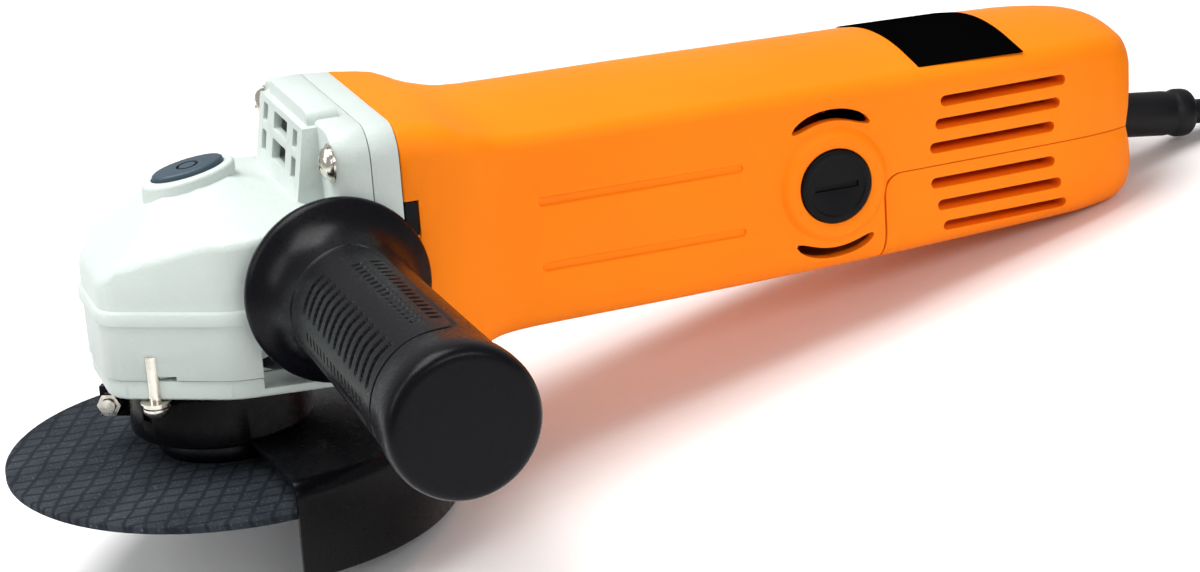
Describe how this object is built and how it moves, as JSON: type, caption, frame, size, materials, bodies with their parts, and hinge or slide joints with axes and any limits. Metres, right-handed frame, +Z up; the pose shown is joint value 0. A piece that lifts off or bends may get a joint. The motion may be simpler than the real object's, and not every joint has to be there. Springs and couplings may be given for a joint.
{
  "type": "angle grinder",
  "caption": "Corded angle grinder with bevel gear head, turning wheel guard, side handle, spindle lock, slide switch and coiled mains lead.",
  "frame": {"origin": "bottom centre of the box round the tool without its free cord: on the bench, midway along and across the tool", "axes": "+X runs back along the tool towards the cord, +Y is the tool's right side (the side handle points along -Y), +Z is up from the bench. The tool lies on the rim of its wheel guard and the rear lower edge of its body, so the body axis dips towards the rear"},
  "size_m": [0.4564, 0.2068, 0.1119],
  "materials": {
    "orange_plastic": "moulded glass-filled nylon, satin",
    "grey_casting": "sand-textured casting with light grey powder coat",
    "black_plastic": "moulded black nylon",
    "handle_grip": "moulded black nylon, smooth and ribbed",
    "black_paint": "pressed steel with semi-gloss black paint",
    "button_plastic": "moulded slate grey nylon",
    "steel": "machined steel",
    "dark_steel": "black-oxide steel",
    "bright_steel": "nickel-plated or ground steel",
    "copper": "enamelled copper wire and copper bars",
    "brass": "drawn brass",
    "carbon": "pressed graphite",
    "lamination": "stacked steel sheet",
    "abrasive": "resin-bonded abrasive with glass-fibre mesh",
    "rubber": "flexible black rubber or PVC",
    "felt": "pressed felt"
  },
  "bodies": {
    "housing": {"gear_housing": "grey_casting", "middle_bracket": "grey_casting", "bearing_box": "grey_casting", "motor_housing": "orange_plastic", "rear_cover": "orange_plastic", "top_plate": "black_plastic", "brush_cap_left": "black_plastic", "brush_cap_right": "black_plastic", "rear_bearing_holder": "black_plastic", "switch_body": "black_plastic", "cord_tie": "black_plastic", "side_handle": "handle_grip", "strain_relief": "rubber", "cord": "rubber", "cord_coil": "rubber", "plug": "rubber", "handle_stud": "steel", "spindle_bearing": "bright_steel", "front_bearing": "bright_steel", "rear_bearing": "bright_steel", "lock_spring": "bright_steel", "brush_spring_left": "bright_steel", "brush_spring_right": "bright_steel", "spindle_top_bush": "brass", "brush_holder_left": "brass", "brush_holder_right": "brass", "field_coil_upper": "copper", "field_coil_lower": "copper", "stator_core": "lamination", "grease_seal": "felt", "case_screw_1": "bright_steel", "box_screw_1": "bright_steel", "case_screw_2": "bright_steel", "box_screw_2": "bright_steel", "case_screw_3": "bright_steel", "box_screw_3": "bright_steel", "case_screw_4": "bright_steel", "box_screw_4": "bright_steel", "cover_screw_1": "bright_steel", "cover_screw_2": "bright_steel"},
    "spindle_set": {"spindle": "steel", "bevel_gear": "steel", "inner_flange": "dark_steel", "grinding_disc": "abrasive", "lock_nut": "steel"},
    "armature": {"armature_shaft": "steel", "pinion": "steel", "armature_core": "lamination", "armature_winding_front": "copper", "armature_winding_rear": "copper", "commutator": "copper", "cooling_fan": "black_plastic"},
    "guard": {"wheel_guard": "black_paint", "guard_clamp_screw": "steel", "guard_clamp_nut": "steel"},
    "lock_button": {"lock_button": "button_plastic"},
    "switch": {"switch_knob": "black_plastic", "switch_rod": "black_plastic"},
    "brush_left": {"carbon_brush_left": "carbon"},
    "brush_right": {"carbon_brush_right": "carbon"}
  },
  "joints": [
    {"name": "spindle_spin", "type": "hinge", "parent": "housing", "child": "spindle_set", "pos_m": [-0.10472, 0.0427, 0.04198], "axis": [0.233, 0, 0.9725], "continuous": true},
    {"name": "armature_spin", "type": "hinge", "parent": "housing", "child": "armature", "pos_m": [0.00185, 0.0427, 0.05758], "axis": [0.9725, 0, -0.233], "continuous": true},
    {"name": "guard_turn", "type": "hinge", "parent": "housing", "child": "guard", "pos_m": [-0.10472, 0.0427, 0.04198], "axis": [0.233, 0, 0.9725], "range_deg": [-100, 100]},
    {"name": "lock_press", "type": "slide", "parent": "housing", "child": "lock_button", "axis": [-0.233, 0, -0.9725], "range_m": [0, 0.004], "stiffness_N_per_m": 500, "springref_m": -0.004, "deforming": ["lock_spring"]},
    {"name": "switch_slide", "type": "slide", "parent": "housing", "child": "switch", "axis": [-0.9725, 0, 0.233], "range_m": [0, 0.008]},
    {"name": "brush_left_slide", "type": "slide", "parent": "housing", "child": "brush_left", "axis": [0, -1, 0], "range_m": [0, 0.003], "stiffness_N_per_m": 200, "springref_m": -0.008, "deforming": ["brush_spring_left"]},
    {"name": "brush_right_slide", "type": "slide", "parent": "housing", "child": "brush_right", "axis": [0, 1, 0], "range_m": [0, 0.003], "stiffness_N_per_m": 200, "springref_m": -0.008, "deforming": ["brush_spring_right"]}
  ],
  "couplings": [
    {"joint": "armature_spin", "follows": "spindle_spin", "ratio": 3.3636}
  ]
}
